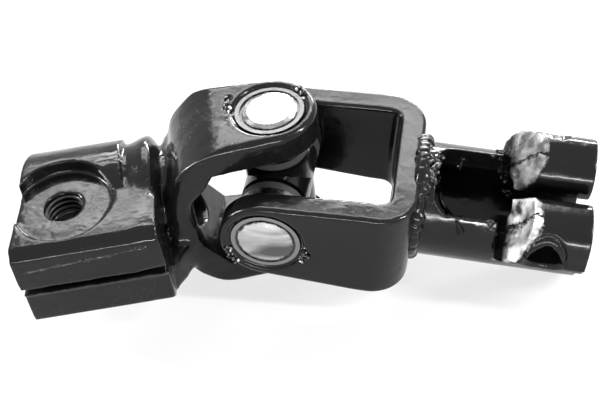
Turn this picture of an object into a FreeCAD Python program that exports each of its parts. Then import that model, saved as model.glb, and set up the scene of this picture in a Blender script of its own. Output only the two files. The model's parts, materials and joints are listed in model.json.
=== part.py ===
import FreeCAD, Part
import math
import os
import Sketcher

# Steering column joint: a forged clamp yoke and a plate fork with a welded clamp sleeve,
# hinged to each other through a four-trunnion cross in needle roller cups.
# Each yoke is drawn in its own frame: the origin at the centre of the cross, X along the
# shaft towards the right, Z along the yoke's own pin axis.

SIZES = [
    # the cross and its bearings
    ("face_reach", 21.2, "centre of the cross to the outer face of a cup"),
    ("cup_radius", 8.0, "outer radius of a bearing cup"),
    ("cup_mouth", 11.6, "centre of the cross to the open end of a cup"),
    ("cup_wall", 1.2, "wall of a bearing cup"),
    ("cup_floor", 1.7, "thickness of the closed end of a cup"),
    ("dome_radius", 6.4, "radius of the bright dome on the closed end"),
    ("dome_rise", 0.5, "height of the dome at its middle"),
    ("dome_groove", 0.6, "width of the ring groove round the dome"),
    ("groove_depth", 0.45, "depth of the ring groove round the dome"),
    ("roller_radius", 1.0, "radius of a needle roller"),
    ("roller_room", 1.27, "free length between the rollers and the seal"),
    ("roller_count", 17, "needle rollers in a cup"),
    ("running_gap", 0.03, "radial clearance of the rollers on both sides"),
    ("pad_thickness", 0.8, "thickness of the thrust pin's head"),
    ("pad_radius", 3.6, "radius of the thrust pin's head"),
    ("stem_radius", 1.9, "radius of the thrust pin's stem"),
    ("stem_length", 5.0, "length of the thrust pin's stem"),
    ("stem_gap", 0.05, "clearance of the stem in the trunnion"),
    ("thrust_gap", 0.1, "end clearance between thrust pin and cup"),
    ("seal_radius", 7.9, "outer radius of a lip seal"),
    ("seal_height", 2.6, "height of a lip seal"),
    ("seal_gap", 0.3, "clearance between a lip seal and the cross"),
    ("shoulder_radius", 7.9, "radius of the cross below the seals"),
    # the ears of both yokes
    ("ear_rim", 0.5, "height of the ear's face above the cup"),
    ("ear_radius", 10.9, "radius of an ear's round end"),
    ("staking_radius", 9.0, "radius of the shallow recess round a cup"),
    ("staking_depth", 0.7, "depth of the shallow recess round a cup"),
    # the left yoke
    ("arm_thickness", 7.2, "thickness of a left arm at the ear"),
    ("throat_reach", 21.0, "centre of the cross to the bottom of the left fork"),
    ("throat_round", 6.0, "rounding of the left fork's throat"),
    ("shoulder_reach", 15.0, "centre of the cross to where the arm bends in"),
    ("shoulder_round", 12.0, "outer rounding of the left arms"),
    ("root_reach", 29.5, "centre of the cross to the root of the left fork"),
    ("root_width", 12.5, "half width of the left fork's root"),
    ("arm_round", 1.5, "rounding of the left arms' edges"),
    ("waist_radius", 11.4, "radius of the waist between fork and hub"),
    ("hub_end", 61.6, "centre of the cross to the farthest edge of the left end"),
    ("end_skew", 4.4, "how far the sheared left end leans across the hub"),
    ("barrel_end", 37.0, "centre of the cross to the end of the hub's barrel"),
    ("barrel_radius", 15.0, "outer radius of the hub's barrel"),
    ("neck_radius", 13.6, "radius of the recessed neck behind the barrel"),
    ("collar_radius", 15.4, "radius of the raised collar behind the neck"),
    ("collar_width", 3.0, "width of the raised collar"),
    ("block_end", 31.0, "centre of the cross to the end of the pinch block"),
    ("block_reach", 24.4, "shaft axis to the outer side of the pinch block"),
    ("block_half", 12.5, "half height of the pinch block"),
    ("block_chamfer", 2.2, "chamfer along the pinch block"),
    ("gusset_run", 8.6, "how far the gusset runs from the block towards the arm"),
    ("gusset_height", 8.6, "height of the gusset"),
    ("ear_step", 0.9, "how far the lower half of the block stands back"),
    ("shaft_radius", 8.5, "radius of the bore for the steering shaft"),
    ("slot_width", 1.9, "width of the slot in the left hub"),
    ("bolt_offset", 10.2, "shaft axis to the axis of the left pinch bolt"),
    ("bolt_reach", 49.5, "centre of the cross to the axis of the left pinch bolt"),
    ("thread_radius", 4.4, "core radius of the tapped hole"),
    ("clear_radius", 5.3, "radius of the clearance hole"),
    ("spot_radius", 11.3, "radius of the spot face"),
    ("spot_depth", 1.0, "depth of the spot face below the block's top"),
    # the right fork
    ("plate", 6.0, "thickness of the right fork's plate"),
    ("web_reach", 27.0, "centre of the cross to the inner side of the web"),
    ("fork_half", 12.2, "half width of the right fork at the web"),
    ("plate_round", 0.9, "rounding of the plate's edges"),
    ("corner_round", 9.0, "outer rounding of the right fork's corners"),
    # the clamp sleeve
    ("sleeve_radius", 13.5, "outer radius of the sleeve"),
    ("sleeve_bore", 8.75, "radius of the sleeve's bore"),
    ("sleeve_end", 71.8, "centre of the cross to the right end"),
    ("sleeve_phase", 20.0, "turn of the clamp about the shaft axis"),
    ("window_gap", 3.5, "plate to the left end of the window"),
    ("window_end", 53.5, "centre of the cross to the right end of the window"),
    ("window_half", 8.4, "half width of the window"),
    ("window_round", 4.0, "rounding of the window's left corners"),
    ("window_floor", 3.5, "shaft axis to the lowest cut of the window"),
    ("lug_half", 16.4, "shaft axis plane to the outer side of a pinch ear"),
    ("lug_reach", 16.0, "shaft axis to the top of a pinch ear"),
    ("lug_round", 5.5, "rounding of a pinch ear's outer edge"),
    ("lug_start", 52.0, "centre of the cross to the slanted ends of the ears"),
    ("lug_slant", 7.0, "run of the slanted ends"),
    ("gap_width", 2.4, "width of the slot between the ears"),
    ("pinch_height", 10.6, "shaft axis to the axis of the right pinch bolt"),
    ("pinch_reach", 62.5, "centre of the cross to the right pinch bolt"),
    ("pinch_radius", 4.3, "radius of the right pinch bolt's hole"),
    ("bead_radius", 2.6, "radius of the weld bead"),
    # how the joint lies
    ("bend_left", -15.7, "turn of the cross in the left yoke"),
    ("bend_right", -8.8, "turn of the right fork on the cross"),
    ("lie_roll", -0.47, "roll of the left yoke as it lies"),
    ("lie_pitch", -1.67, "pitch of the left yoke as it lies"),
    ("lie_yaw", 8.32, "yaw of the left yoke as it lies"),
]

doc = FreeCAD.newDocument("SteeringColumnJoint")


def make_sheet():
    sheet = doc.addObject("Spreadsheet::Sheet", "Sizes")
    for row, (alias, value, meaning) in enumerate(SIZES, start=1):
        sheet.set("A%d" % row, meaning)
        sheet.set("B%d" % row, str(value))
        sheet.setAlias("B%d" % row, alias)
    doc.recompute()
    return sheet


sizes = make_sheet()


def size(alias):
    return float(getattr(sizes, alias))


def value_of(expression):
    result = sizes.evalExpression(bound(expression))
    return float(getattr(result, "Value", result))


ALIASES = sorted((row[0] for row in SIZES), key=len, reverse=True)


def bound(expression):
    """Writes the sheet's name before each alias of an expression."""
    text = str(expression)
    words = []
    word = ""
    for letter in text + " ":
        if letter.isalnum() or letter == "_":
            word += letter
            continue
        words.append("Sizes." + word if word in ALIASES else word)
        words.append(letter)
        word = ""
    return "".join(words).strip()


def new_body(label):
    body = doc.addObject("PartDesign::Body", label)
    body.Label = label
    return body


def new_sketch(body, name, role, offset=None):
    sketch = body.newObject("Sketcher::SketchObject", name)
    plane = next(item for item in body.Origin.OriginFeatures if item.Role == role)
    sketch.AttachmentSupport = [(plane, "")]
    sketch.MapMode = "FlatFace"
    if offset is not None:
        sketch.setExpression("AttachmentOffset.Base.z", bound(offset))
    return sketch


def hold(sketch, kind, geometry, point, expression):
    index = sketch.addConstraint(
        Sketcher.Constraint(kind, -1, 1, geometry, point, value_of(expression)))
    sketch.setExpression("Constraints[%d]" % index, bound(expression))


def outline(sketch, corners):
    """A closed outline. A corner is (x, y), or (x, y, centre x, centre y, turn) where the
    stretch that leaves it is an arc about that centre, +1 anticlockwise."""
    first = sketch.GeometryCount
    count = len(corners)
    spots = [FreeCAD.Vector(value_of(c[0]), value_of(c[1]), 0) for c in corners]
    ends = []
    for index, corner in enumerate(corners):
        start, stop = spots[index], spots[(index + 1) % count]
        if len(corner) == 2:
            sketch.addGeometry(Part.LineSegment(start, stop))
            ends.append((1, 2))
            continue
        centre = FreeCAD.Vector(value_of(corner[2]), value_of(corner[3]), 0)
        radius = (start - centre).Length
        angles = [math.atan2(p.y - centre.y, p.x - centre.x) for p in (start, stop)]
        if corner[4] < 0:
            angles.reverse()
        if angles[1] <= angles[0]:
            angles[1] += 2 * math.pi
        circle = Part.Circle(centre, FreeCAD.Vector(0, 0, 1), radius)
        sketch.addGeometry(Part.ArcOfCircle(circle, angles[0], angles[1]))
        ends.append((1, 2) if corner[4] > 0 else (2, 1))
    for index in range(count):
        following = (index + 1) % count
        sketch.addConstraint(Sketcher.Constraint(
            "Coincident", first + index, ends[index][1], first + following, ends[following][0]))
    for index, corner in enumerate(corners):
        hold(sketch, "DistanceX", first + index, ends[index][0], corner[0])
        hold(sketch, "DistanceY", first + index, ends[index][0], corner[1])
        if len(corner) == 2:
            continue
        start, stop = spots[index], spots[(index + 1) % count]
        if abs(start.x - stop.x) < abs(start.y - stop.y):
            hold(sketch, "DistanceX", first + index, 3, corner[2])
        else:
            hold(sketch, "DistanceY", first + index, 3, corner[3])


def ring(sketch, across, up, radius):
    middle = FreeCAD.Vector(value_of(across), value_of(up), 0)
    index = sketch.addGeometry(
        Part.Circle(middle, FreeCAD.Vector(0, 0, 1), value_of(radius)))
    hold(sketch, "DistanceX", index, 3, across)
    hold(sketch, "DistanceY", index, 3, up)
    datum = sketch.addConstraint(Sketcher.Constraint("Radius", index, value_of(radius)))
    sketch.setExpression("Constraints[%d]" % datum, bound(radius))


def extrude(body, kind, name, sketch, length, side="One side", reverse=False):
    feature = body.newObject("PartDesign::" + kind, name)
    feature.Profile = sketch
    feature.SideType = side
    feature.Reversed = reverse
    feature.setExpression("Length", bound(length))
    doc.recompute()
    return feature


def must_cut(body, name, make):
    """Makes a cutting feature and fails if it takes nothing away."""
    before = body.Shape.Volume
    feature = make()
    if body.Shape.Volume >= before - 1e-3:
        raise RuntimeError(name + " cuts nothing")
    return feature


def pocket(body, name, sketch, length, side="One side", reverse=False):
    return must_cut(body, name,
                    lambda: extrude(body, "Pocket", name, sketch, length, side, reverse))


def turned(body, kind, name, sketch, axis="V_Axis"):
    feature = body.newObject("PartDesign::" + kind, name)
    feature.Profile = sketch
    feature.ReferenceAxis = (sketch, [axis])
    feature.Angle = 360
    doc.recompute()
    return feature


def edges_where(shape, test):
    return ["Edge%d" % (i + 1) for i, edge in enumerate(shape.Edges) if test(edge)]


def soften(body, name, kind, radius, test):
    """Fillets or chamfers the edges that pass the test."""
    base = body.Tip
    feature = body.newObject("PartDesign::" + kind, name)
    feature.Base = (base, edges_where(base.Shape, test))
    feature.setExpression("Radius" if kind == "Fillet" else "Size", bound(radius))
    doc.recompute()
    return feature


def side_edge(edge):
    """An edge of a fork's outline, as seen along Y: it isn't a straight edge across the fork."""
    ends = [vertex.Point for vertex in edge.Vertexes]
    if len(ends) == 2 and edge.Curve.TypeId == "Part::GeomLine":
        along = ends[1] - ends[0]
        return abs(along.y) < 0.9 * along.Length
    return True


def back_edge(edge):
    """An edge of an arm's outer face or of its shoulder, out of the way of the throat."""
    if not side_edge(edge):
        return False
    middle = edge.valueAt((edge.FirstParameter + edge.LastParameter) / 2)
    shoulder = size("shoulder_reach") + size("arm_round")
    return abs(middle.z) > size("face_reach") or (
        edge.Curve.TypeId == "Part::GeomCircle" and -middle.x > shoulder)


def make_cup(label):
    body = new_body(label)
    sketch = new_sketch(body, label + "_profile", "XZ_Plane")
    outline(sketch, [
        ("0", "face_reach - cup_floor"),
        ("cup_radius - cup_wall", "face_reach - cup_floor"),
        ("cup_radius - cup_wall", "cup_mouth"),
        ("cup_radius", "cup_mouth"),
        ("cup_radius", "face_reach"),
        ("dome_radius + dome_groove", "face_reach"),
        ("dome_radius + dome_groove", "face_reach - groove_depth"),
        ("dome_radius", "face_reach - groove_depth"),
        ("dome_radius", "face_reach - 0.1"),
        ("dome_radius * 0.8", "face_reach + dome_rise * 0.55"),
        ("dome_radius * 0.45", "face_reach + dome_rise * 0.9"),
        ("0", "face_reach + dome_rise"),
    ])
    turned(body, "Revolution", label + "_turned", sketch)
    return body


def make_needles(label):
    roller = doc.addObject("Part::Cylinder", label + "_roller")
    roller.setExpression("Radius", bound("roller_radius"))
    length = "face_reach - cup_floor - running_gap - roller_room - cup_mouth"
    roller.setExpression("Height", bound(length))
    orbit = size("cup_radius") - size("cup_wall") - size("running_gap") - size("roller_radius")
    foot = size("cup_mouth") + size("roller_room")
    doc.recompute()
    rollers = []
    count = int(size("roller_count"))
    for index in range(count):
        turn = FreeCAD.Rotation(FreeCAD.Vector(0, 0, 1), 360.0 * index / count)
        spot = turn.multVec(FreeCAD.Vector(orbit, 0, foot))
        copy = roller.Shape.copy()
        copy.Placement = FreeCAD.Placement(spot, turn)
        rollers.append(copy)
    group = doc.addObject("Part::Feature", label)
    group.Label = label
    group.Shape = Part.makeCompound(rollers)
    return group


def make_seal(label):
    body = new_body(label)
    sketch = new_sketch(body, label + "_profile", "XZ_Plane")
    top = "cup_mouth"
    inner = "cup_radius - cup_wall - 2 * running_gap - 2 * roller_radius + seal_gap"
    outline(sketch, [
        (inner, top),
        (inner, top + " - seal_height + 0.9"),
        (inner + " + 0.7", top + " - seal_height + 0.5"),
        (inner + " + 0.9", top + " - seal_height"),
        ("seal_radius - 0.5", top + " - seal_height"),
        ("seal_radius", top + " - seal_height + 0.7"),
        ("seal_radius", top),
    ])
    turned(body, "Revolution", label + "_turned", sketch)
    return body


def make_thrust_pin(label):
    body = new_body(label)
    sketch = new_sketch(body, label + "_profile", "XZ_Plane")
    top = "face_reach - cup_floor - thrust_gap"
    outline(sketch, [
        ("0", top),
        ("pad_radius", top),
        ("pad_radius", top + " - pad_thickness"),
        ("stem_radius", top + " - pad_thickness"),
        ("stem_radius", top + " - pad_thickness - stem_length"),
        ("0", top + " - pad_thickness - stem_length"),
    ])
    turned(body, "Revolution", label + "_turned", sketch)
    return body


def make_cross():
    body = new_body("cross")
    end = "face_reach - cup_floor - thrust_gap - pad_thickness"
    root = "cup_mouth - seal_height - seal_gap"
    trunnion = "cup_radius - cup_wall - 2 * running_gap - 2 * roller_radius"
    for name, role in (("upright", "XZ_Plane"), ("level", "XY_Plane")):
        sketch = new_sketch(body, "cross_" + name, role)
        outline(sketch, [
            ("0", "-(" + end + ")"),
            (trunnion + " - 0.5", "-(" + end + ")"),
            (trunnion, "-(" + end + ") + 0.5"),
            (trunnion, "-(" + root + ")"),
            ("shoulder_radius", "-(" + root + ") + 0.4"),
            ("shoulder_radius", root + " - 0.4"),
            (trunnion, root),
            (trunnion, end + " - 0.5"),
            (trunnion + " - 0.5", end),
            ("0", end),
        ])
        turned(body, "Revolution", "cross_" + name + "_arm", sketch)
    for name, role in (("upright", "XY_Plane"), ("level", "XZ_Plane")):
        for side, sign in (("near", "-"), ("far", "")):
            sketch = new_sketch(body, "cross_" + name + "_" + side, role, sign + "(" + end + ")")
            ring(sketch, "0", "0", "stem_radius + stem_gap")
            pocket(body, "cross_" + name + "_" + side + "_hole", sketch,
                   "stem_length + 2 * stem_gap", reverse=side == "near")
    return body


def ear_holes(body, label, face):
    """The two ears' round ends, bores for the cups and shallow recesses round them."""
    sketch = new_sketch(body, label + "_bore_ring", "XY_Plane")
    ring(sketch, "0", "0", "cup_radius")
    pocket(body, label + "_bores", sketch, "2 * (" + face + ") + 2", side="Symmetric")
    for side, sign in (("far", "-"), ("near", "")):
        sketch = new_sketch(body, label + "_recess_" + side, "XY_Plane",
                            sign + "(" + face + ")")
        ring(sketch, "0", "0", "staking_radius")
        pocket(body, label + "_recess_cut_" + side, sketch, "staking_depth",
               reverse=side == "far")


def ear_rounding(body, label, half_height, half_width, direction):
    """Cuts the square ends of the arms back to the ears' round ends."""
    sketch = new_sketch(body, label + "_ear_plan", "XY_Plane")
    out = direction + "(ear_radius + 2)"
    wide = half_width + " + 4"
    turn = 1 if direction == "" else -1
    outline(sketch, [
        ("0", "-ear_radius", "0", "0", turn),
        ("0", "ear_radius"),
        ("0", wide),
        (out, wide),
        (out, "-(" + wide + ")"),
        ("0", "-(" + wide + ")"),
    ])
    pocket(body, label + "_ear_round", sketch, "2 * (" + half_height + ") + 2",
           side="Symmetric")


def arm_taper(body, label, root, half_width, half_height):
    """Tapers the arms in plan from the fork's root to the ears."""
    for side, sign in (("left", ""), ("right", "-")):
        sketch = new_sketch(body, label + "_taper_" + side, "XY_Plane")
        outline(sketch, [
            ("0", sign + "ear_radius"),
            ("0", sign + "(" + half_width + " + 5)"),
            (root, sign + "(" + half_width + " + 5)"),
            (root, sign + "(" + half_width + ")"),
        ])
        pocket(body, label + "_taper_cut_" + side, sketch, "2 * (" + half_height + ") + 2",
               side="Symmetric")


def make_left_yoke():
    body = new_body("left_yoke")
    face = "face_reach + ear_rim"
    # fork seen from the side
    sketch = new_sketch(body, "yoke_side", "XZ_Plane")
    inner = face + " - arm_thickness"
    upper = [
        ("-throat_reach", inner + " - throat_round - 3"),
        ("-throat_reach + throat_round", inner),
        ("ear_radius", inner),
        ("ear_radius", face),
    ]
    bend = face + " - shoulder_round"
    back = [
        ("-shoulder_reach", face, "-shoulder_reach", bend, 1),
        ("-shoulder_reach - shoulder_round", bend),
        ("-root_reach", bend),
        ("-root_reach", "-(" + bend + ")"),
        ("-shoulder_reach - shoulder_round", "-(" + bend + ")",
         "-shoulder_reach", "-(" + bend + ")", 1),
        ("-shoulder_reach", "-(" + face + ")"),
    ]
    lower = [(x, "-(" + z + ")") for x, z in reversed(upper)]
    outline(sketch, upper + back + lower)
    extrude(body, "Pad", "yoke_fork", sketch, "2 * root_width", side="Symmetric")
    ear_rounding(body, "yoke", face, "root_width", "")
    arm_taper(body, "yoke", "-shoulder_reach - 6", "root_width", face)
    soften(body, "arm_edges", "Fillet", "arm_round", back_edge)
    # hub: barrel, neck and collar turned about the shaft axis
    sketch = new_sketch(body, "hub_barrel", "XY_Plane")
    outline(sketch, [
        ("-hub_end", "0"),
        ("-hub_end", "barrel_radius"),
        ("-barrel_end", "barrel_radius"),
        ("-barrel_end", "neck_radius"),
        ("-block_end - collar_width - 1.5", "neck_radius"),
        ("-block_end - collar_width", "collar_radius"),
        ("-block_end", "collar_radius"),
        ("-block_end", "waist_radius"),
        ("-shoulder_reach - shoulder_round + 2", "waist_radius"),
        ("-shoulder_reach - shoulder_round + 4", "0"),
    ])
    turned(body, "Revolution", "hub_turned", sketch, "H_Axis")
    # pinch block on the bolt's side of the shaft
    sketch = new_sketch(body, "hub_block", "YZ_Plane", "-hub_end")
    outline(sketch, [
        ("0", "-block_half"),
        ("0", "block_half"),
        ("-block_reach + block_chamfer", "block_half"),
        ("-block_reach", "block_half - block_chamfer"),
        ("-block_reach", "-slot_width / 2"),
        ("-block_reach + ear_step", "-slot_width / 2 - ear_step"),
        ("-block_reach + ear_step", "-block_half + block_chamfer"),
        ("-block_reach + ear_step + block_chamfer", "-block_half"),
    ])
    extrude(body, "Pad", "hub_block_pad", sketch, "hub_end - block_end")
    # gusset that runs from the lower half of the block into the lower arm
    sketch = new_sketch(body, "root_gusset", "XY_Plane", "-block_half + 0.1")
    outline(sketch, [
        ("-block_end - 1", "-4"),
        ("-block_end - 1", "-block_reach + ear_step + block_chamfer + gusset_run * 0.1"),
        ("-block_end + gusset_run * 0.3", "-root_width - gusset_run * 0.65"),
        ("-block_end + gusset_run", "-root_width - 0.4"),
        ("-block_end + gusset_run", "-4"),
    ])
    extrude(body, "Pad", "root_gusset_pad", sketch, "gusset_height")
    # shaft bore, slot, bolt holes and spot face
    sketch = new_sketch(body, "hub_bore", "YZ_Plane", "-hub_end")
    ring(sketch, "0", "0", "shaft_radius")
    pocket(body, "hub_bore_cut", sketch, "hub_end - throat_reach + throat_round",
           reverse=True)
    sketch = new_sketch(body, "hub_slot", "YZ_Plane", "-hub_end")
    outline(sketch, [
        ("0", "-slot_width / 2"),
        ("0", "slot_width / 2"),
        ("-block_reach - 1", "slot_width / 2"),
        ("-block_reach - 1", "-slot_width / 2"),
    ])
    pocket(body, "hub_slot_cut", sketch, "hub_end - block_end + 1", reverse=True)
    sketch = new_sketch(body, "hub_spot", "XY_Plane", "block_half - spot_depth")
    ring(sketch, "-bolt_reach", "-bolt_offset", "spot_radius")
    pocket(body, "hub_spot_cut", sketch, "barrel_radius", reverse=True)
    sketch = new_sketch(body, "hub_thread", "XY_Plane")
    ring(sketch, "-bolt_reach", "-bolt_offset", "thread_radius")
    pocket(body, "hub_thread_cut", sketch, "block_half + 1", reverse=True)
    sketch = new_sketch(body, "hub_clear", "XY_Plane")
    ring(sketch, "-bolt_reach", "-bolt_offset", "clear_radius")
    pocket(body, "hub_clear_cut", sketch, "block_half + 3")
    sketch = new_sketch(body, "hub_skew", "XY_Plane")
    outline(sketch, [
        ("-hub_end - 1", "barrel_radius + 1"),
        ("-hub_end - 1", "-block_reach - 1"),
        ("-hub_end", "-block_reach - 1"),
        ("-hub_end + end_skew", "barrel_radius + 1"),
    ])
    pocket(body, "hub_skew_cut", sketch, "2 * barrel_radius + 2", side="Symmetric")
    ear_holes(body, "yoke", face)
    return body


def make_right_fork():
    body = new_body("right_fork")
    face = "face_reach + ear_rim"
    sketch = new_sketch(body, "fork_side", "XZ_Plane")
    inner = "(" + face + " - plate)"
    inner_round = "(corner_round - plate)"
    reach = "(web_reach + plate)"
    outline(sketch, [
        ("-ear_radius", inner),
        ("-ear_radius", face),
        (reach + " - corner_round", face, reach + " - corner_round",
         face + " - corner_round", -1),
        (reach, face + " - corner_round"),
        (reach, "-(" + face + " - corner_round)", reach + " - corner_round",
         "-(" + face + " - corner_round)", -1),
        (reach + " - corner_round", "-(" + face + ")"),
        ("-ear_radius", "-(" + face + ")"),
        ("-ear_radius", "-" + inner),
        ("web_reach - " + inner_round, "-" + inner, "web_reach - " + inner_round,
         "-" + inner + " + " + inner_round, 1),
        ("web_reach", "-" + inner + " + " + inner_round),
        ("web_reach", inner + " - " + inner_round, "web_reach - " + inner_round,
         inner + " - " + inner_round, 1),
        ("web_reach - " + inner_round, inner),
    ])
    extrude(body, "Pad", "fork_plate", sketch, "2 * fork_half", side="Symmetric")
    ear_rounding(body, "fork", face, "fork_half", "-")
    arm_taper(body, "fork", "web_reach - 6", "fork_half", face)
    soften(body, "plate_edges", "Fillet", "plate_round", side_edge)
    sketch = new_sketch(body, "fork_web_hole", "YZ_Plane", "web_reach + plate + 1")
    ring(sketch, "0", "0", "sleeve_bore")
    pocket(body, "fork_web_cut", sketch, "plate + 2")
    ear_holes(body, "fork", face)
    return body


def make_sleeve():
    """The sleeve's own frame is turned by sleeve_phase about the shaft, so that its slot
    lies in the XY plane and its bolt runs along Z."""
    body = new_body("clamp_sleeve")
    start = "web_reach + plate"
    sketch = new_sketch(body, "sleeve_tube", "YZ_Plane", start)
    ring(sketch, "0", "0", "sleeve_radius")
    extrude(body, "Pad", "sleeve_tube_pad", sketch, "sleeve_end - (" + start + ")")
    sketch = new_sketch(body, "sleeve_lugs", "YZ_Plane", "lug_start")
    outline(sketch, [
        ("0", "-sleeve_radius"),
        ("lug_reach - lug_round", "-lug_half", "lug_reach - lug_round",
         "-lug_half + lug_round", 1),
        ("lug_reach", "-lug_half + lug_round"),
        ("lug_reach", "lug_half - lug_round", "lug_reach - lug_round",
         "lug_half - lug_round", 1),
        ("lug_reach - lug_round", "lug_half"),
        ("0", "sleeve_radius"),
    ])
    extrude(body, "Pad", "sleeve_lugs_pad", sketch, "sleeve_end - lug_start")
    # slanted ends of the ears
    sketch = new_sketch(body, "sleeve_slant", "XY_Plane")
    outline(sketch, [
        ("lug_start - 0.5", "window_floor"),
        ("lug_start + lug_slant", "lug_reach + 0.5"),
        ("lug_start - 0.5", "lug_reach + 0.5"),
    ])
    pocket(body, "sleeve_slant_cut", sketch, "2 * lug_half + 2", side="Symmetric")
    # window in the tube
    left = start + " + window_gap"
    turn = left + " + window_round"
    sketch = new_sketch(body, "sleeve_window", "XZ_Plane", "-(window_floor)")
    outline(sketch, [
        (left, "-window_half + window_round", turn, "-window_half + window_round", 1),
        (turn, "-window_half"),
        ("window_end", "-window_half"),
        ("window_end", "window_half"),
        (turn, "window_half", turn, "window_half - window_round", 1),
        (left, "window_half - window_round"),
    ])
    pocket(body, "sleeve_window_cut", sketch, "lug_reach")
    # bore, slot and bolt hole
    sketch = new_sketch(body, "sleeve_bore_ring", "YZ_Plane", start)
    ring(sketch, "0", "0", "sleeve_bore")
    pocket(body, "sleeve_bore_cut", sketch, "sleeve_end - (" + start + ") + 1", reverse=True)
    sketch = new_sketch(body, "sleeve_gap", "YZ_Plane", "window_end - 1")
    outline(sketch, [
        ("0", "-gap_width / 2"),
        ("lug_reach + 1", "-gap_width / 2"),
        ("lug_reach + 1", "gap_width / 2"),
        ("0", "gap_width / 2"),
    ])
    pocket(body, "sleeve_gap_cut", sketch, "sleeve_end - window_end + 2", reverse=True)
    sketch = new_sketch(body, "sleeve_bolt", "XY_Plane")
    ring(sketch, "pinch_reach", "pinch_height", "pinch_radius")
    pocket(body, "sleeve_bolt_cut", sketch, "2 * lug_half + 2", side="Symmetric")
    return body


def make_bead():
    body = new_body("weld_bead")
    sketch = new_sketch(body, "bead_section", "XY_Plane")
    seat = "web_reach + plate"
    outline(sketch, [
        (seat, "sleeve_radius"),
        (seat + " + bead_radius", "sleeve_radius"),
        (seat + " + bead_radius * 0.75", "sleeve_radius + bead_radius * 0.6"),
        (seat, "sleeve_radius + bead_radius"),
    ])
    turned(body, "Revolution", "bead_turned", sketch, "H_Axis")
    return body


def spin(axis, angle):
    return FreeCAD.Placement(FreeCAD.Vector(0, 0, 0), FreeCAD.Rotation(axis, angle))


X_AXIS = FreeCAD.Vector(1, 0, 0)
Y_AXIS = FreeCAD.Vector(0, 1, 0)
Z_AXIS = FreeCAD.Vector(0, 0, 1)


def build():
    lie = (spin(Z_AXIS, size("lie_yaw")) * spin(Y_AXIS, size("lie_pitch"))
           * spin(X_AXIS, size("lie_roll")))
    on_cross = lie * spin(Z_AXIS, size("bend_left"))
    on_fork = on_cross * spin(X_AXIS, 90) * spin(Z_AXIS, size("bend_right"))
    upside_down = spin(X_AXIS, 180)
    placed = [
        (make_left_yoke(), lie),
        (make_cross(), on_cross),
        (make_right_fork(), on_fork),
        (make_sleeve(), on_fork * spin(X_AXIS, size("sleeve_phase"))),
        (make_bead(), on_fork),
    ]
    seats = [
        ("left_top", lie, on_cross),
        ("left_bottom", lie * upside_down, on_cross * upside_down),
        ("right_front", on_fork, on_cross * spin(X_AXIS, 90)),
        ("right_rear", on_fork * upside_down, on_cross * spin(X_AXIS, -90)),
    ]
    for name, in_ear, in_cross in seats:
        placed.append((make_cup("cup_" + name), in_ear))
        placed.append((make_needles("needles_" + name), in_ear))
        placed.append((make_seal("seal_" + name), in_ear))
        placed.append((make_thrust_pin("thrust_" + name), in_cross))
    for piece, placement in placed:
        piece.Placement = placement
    doc.recompute()
    stand_on_floor([piece for piece, placement in placed])
    return [piece for piece, placement in placed]


def stand_on_floor(pieces):
    """Moves the whole joint so that the middle of its footprint is the origin."""
    whole = FreeCAD.BoundBox()
    for piece in pieces:
        whole.add(piece.Shape.optimalBoundingBox(True, False))
    shift = FreeCAD.Vector(-whole.Center.x, -whole.Center.y, -whole.ZMin)
    for piece in pieces:
        piece.Placement = FreeCAD.Placement(shift, FreeCAD.Rotation()) * piece.Placement
    doc.recompute()
    print("centre of the cross at", tuple(round(v, 4) for v in shift))


def check_all(pieces):
    for item in doc.Objects:
        bad = [word for word in item.State if word in ("Invalid", "Error")]
        if bad:
            raise RuntimeError(item.Label + " failed: " + str(bad))
    for piece in pieces:
        if piece.Shape.isNull() or not piece.Shape.isValid():
            raise RuntimeError(piece.Label + " has no valid shape")


pieces = build()
check_all(pieces)
os.makedirs("parts", exist_ok=True)
for piece in pieces:
    piece.Shape.exportStep("parts/" + piece.Label + ".step")
    box = piece.Shape.BoundBox
    print(piece.Label, len(piece.Shape.Solids), "solids",
          [round(v, 1) for v in (box.XMin, box.YMin, box.ZMin, box.XMax, box.YMax, box.ZMax)])
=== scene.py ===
# %% [markdown]
# A steering column joint lies on a pale floor. A forged clamp yoke is on the left, a bent plate
# fork with a welded clamp sleeve is on the right, and a cross in capped needle bearings joins
# them. The whole joint was dipped in thick glossy black paint after the caps were pressed in,
# and only the caps' domes were wiped bright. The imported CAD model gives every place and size.

import bpy
import bmesh
import json
import math
import numpy as np
from mathutils import Matrix, Vector
from mathutils.bvhtree import BVHTree


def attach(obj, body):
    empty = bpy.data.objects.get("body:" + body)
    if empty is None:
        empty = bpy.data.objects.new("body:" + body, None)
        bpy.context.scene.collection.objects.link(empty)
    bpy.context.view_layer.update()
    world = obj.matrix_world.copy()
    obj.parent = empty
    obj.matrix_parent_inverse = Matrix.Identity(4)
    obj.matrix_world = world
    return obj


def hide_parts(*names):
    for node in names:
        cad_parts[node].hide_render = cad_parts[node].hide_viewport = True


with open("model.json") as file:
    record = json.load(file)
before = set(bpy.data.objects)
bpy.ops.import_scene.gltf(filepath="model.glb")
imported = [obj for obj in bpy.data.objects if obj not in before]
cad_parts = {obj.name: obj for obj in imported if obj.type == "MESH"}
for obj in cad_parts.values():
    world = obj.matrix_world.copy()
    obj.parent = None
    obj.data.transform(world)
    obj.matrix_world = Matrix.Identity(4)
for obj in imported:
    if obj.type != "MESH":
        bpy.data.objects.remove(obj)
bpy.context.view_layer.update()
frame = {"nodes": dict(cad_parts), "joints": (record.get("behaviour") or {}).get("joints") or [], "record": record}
record = frame["record"]

# %% [markdown]
# Every piece is drawn in its yoke's own axes, as a maker would measure it on the bench: X along
# the shaft, Z along the yoke's pin. The record says where the pins and the shaft bores are, so
# the axes are worked out from it and not typed in twice.

# %% Axes of the two yokes, the sleeve and the cross
MM = 0.001
pins = {joint["name"]: joint for joint in frame["joints"]}
mounts = {mount["name"]: mount for mount in record["mounts"]}
CENTRE = Vector(pins["left_pin"]["pos_m"])


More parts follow.
